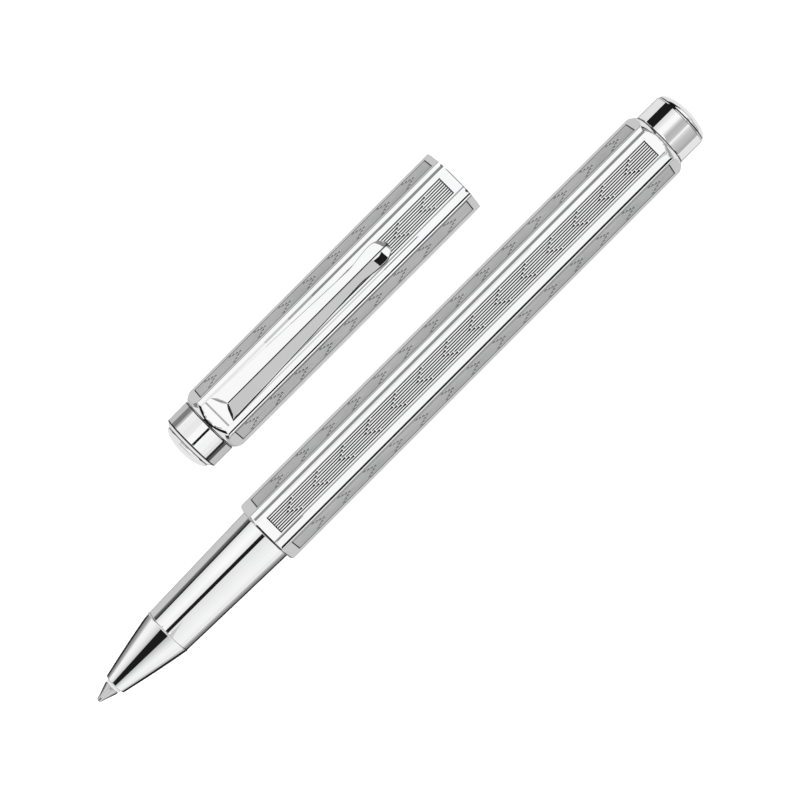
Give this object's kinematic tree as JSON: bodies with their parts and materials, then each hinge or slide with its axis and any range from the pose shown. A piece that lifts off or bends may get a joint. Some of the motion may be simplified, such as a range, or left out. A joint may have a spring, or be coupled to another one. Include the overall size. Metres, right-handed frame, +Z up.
{
  "type": "rollerball pen",
  "caption": "Metal rollerball pen with a six-sided engraved barrel, its cap with a spring clip lying beside it, and a refill behind an unscrewing front section.",
  "frame": {"origin": "on the underside of the barrel, halfway along the six-sided length, where the pen lies on its lower flat", "axes": "+X along the pen from the writing tip to the rear knob; +Y towards the cap that lies beside it; +Z up"},
  "size_m": [0.124, 0.0284, 0.0126],
  "materials": {
    "polished_metal": "polished",
    "engraved_metal": "polished, engraved lines",
    "steel": "satin",
    "brass": "machined",
    "white_plastic": "moulded",
    "black_plastic": "moulded",
    "seal_rubber": "soft",
    "ink_fibre": "bonded fibre soaked in ink",
    "ball_metal": "ground"
  },
  "bodies": {
    "barrel": {"barrel_shell": "engraved_metal", "barrel_thread_bush": "brass", "rear_knob": "polished_metal", "rear_dome": "polished_metal", "spring_seat": "black_plastic", "refill_spring": "steel"},
    "refill": {"refill_tube": "steel", "refill_end_plug": "black_plastic", "ink_reservoir": "ink_fibre", "feed_wick": "ink_fibre", "refill_holder": "white_plastic", "writing_tip": "steel"},
    "section": {"nose_cone": "polished_metal", "grip_sleeve": "polished_metal", "section_core": "brass"},
    "ball": {"writing_ball": "ball_metal"},
    "cap": {"cap_shell": "engraved_metal", "cap_knob": "polished_metal", "cap_dome": "polished_metal", "clip_anchor": "steel", "cap_screw": "steel", "cap_liner": "black_plastic", "tip_seal": "seal_rubber", "cap_snap_ring": "steel"},
    "clip": {"clip": "polished_metal"}
  },
  "joints": [
    {"name": "refill_draw", "type": "slide", "parent": "barrel", "child": "refill", "axis": [-1, 0, 0], "range_m": [0, 0.006]},
    {"name": "section_unscrew", "type": "hinge", "parent": "refill", "child": "section", "pos_m": [-0.0413, 0, 0.00505], "axis": [-1, 0, 0], "range_deg": [0, 2161]},
    {"name": "ball_roll", "type": "hinge", "parent": "refill", "child": "ball", "pos_m": [-0.07625, 0, 0.00505], "axis": [0, 1, 0], "continuous": true},
    {"name": "cap_slide", "type": "slide", "parent": "barrel", "child": "cap", "axis": [-1, 0, 0], "range_m": [0, 0.096]},
    {"name": "clip_lift", "type": "hinge", "parent": "cap", "child": "clip", "pos_m": [-0.0323, 0.01737, 0.0091], "axis": [0, -1, 0], "range_deg": [0, 3], "stiffness_Nm_per_rad": 3}
  ],
  "couplings": [
    {"joint": "section_unscrew", "follows": "refill_draw", "rad_per_m": 6283.2}
  ]
}
